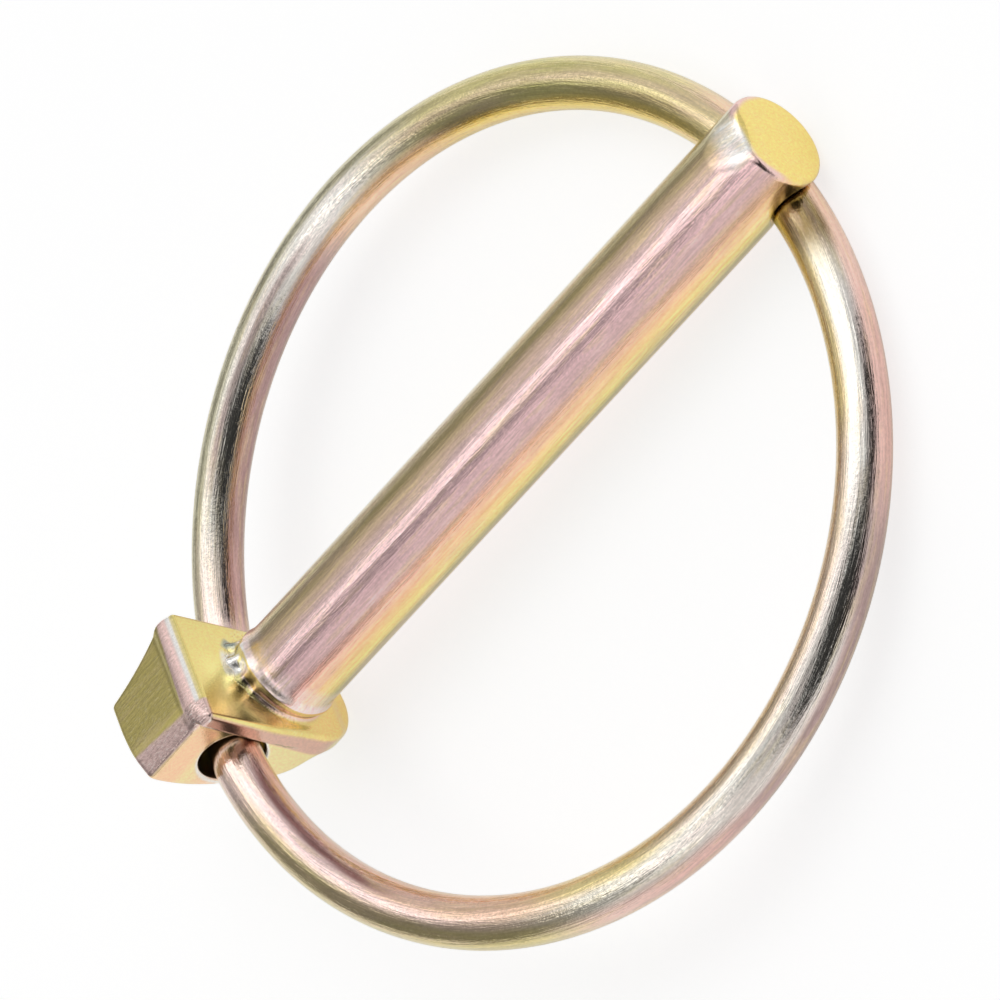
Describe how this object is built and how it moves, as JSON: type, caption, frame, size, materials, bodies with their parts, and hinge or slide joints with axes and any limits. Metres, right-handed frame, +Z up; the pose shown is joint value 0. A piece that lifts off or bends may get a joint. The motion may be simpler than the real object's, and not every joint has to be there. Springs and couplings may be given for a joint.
{
  "type": "lynch pin",
  "caption": "Quick-release retaining pin: a forged steel pin with an eye head, and a sprung wire ring hinged in the head that snaps into a notch under the tip.",
  "frame": {"origin": "on the shank's axis at the head's seat face", "axes": "+X along the shank towards the tip, which points 2.6 degrees down as the pin lies; +Z up, with the head's tab on top; -Y towards the high end of the cross hole"},
  "size_m": [0.0523, 0.0496, 0.0123],
  "materials": {
    "forged_steel": "zinc plated and yellow chromated, satin, brush marks along the shank",
    "spring_wire": "zinc plated and yellow chromated, glossy drawn wire"
  },
  "bodies": {
    "ring": {"ring": "spring_wire"},
    "pin": {"pin": "forged_steel"}
  },
  "joints": [
    {"name": "ring_swing", "type": "hinge", "parent": "ring", "child": "pin", "pos_m": [-0.00228, 0.00024, 0.00164], "axis": [-0.0871, -0.9347, 0.3447], "range_deg": [0, 180]}
  ]
}
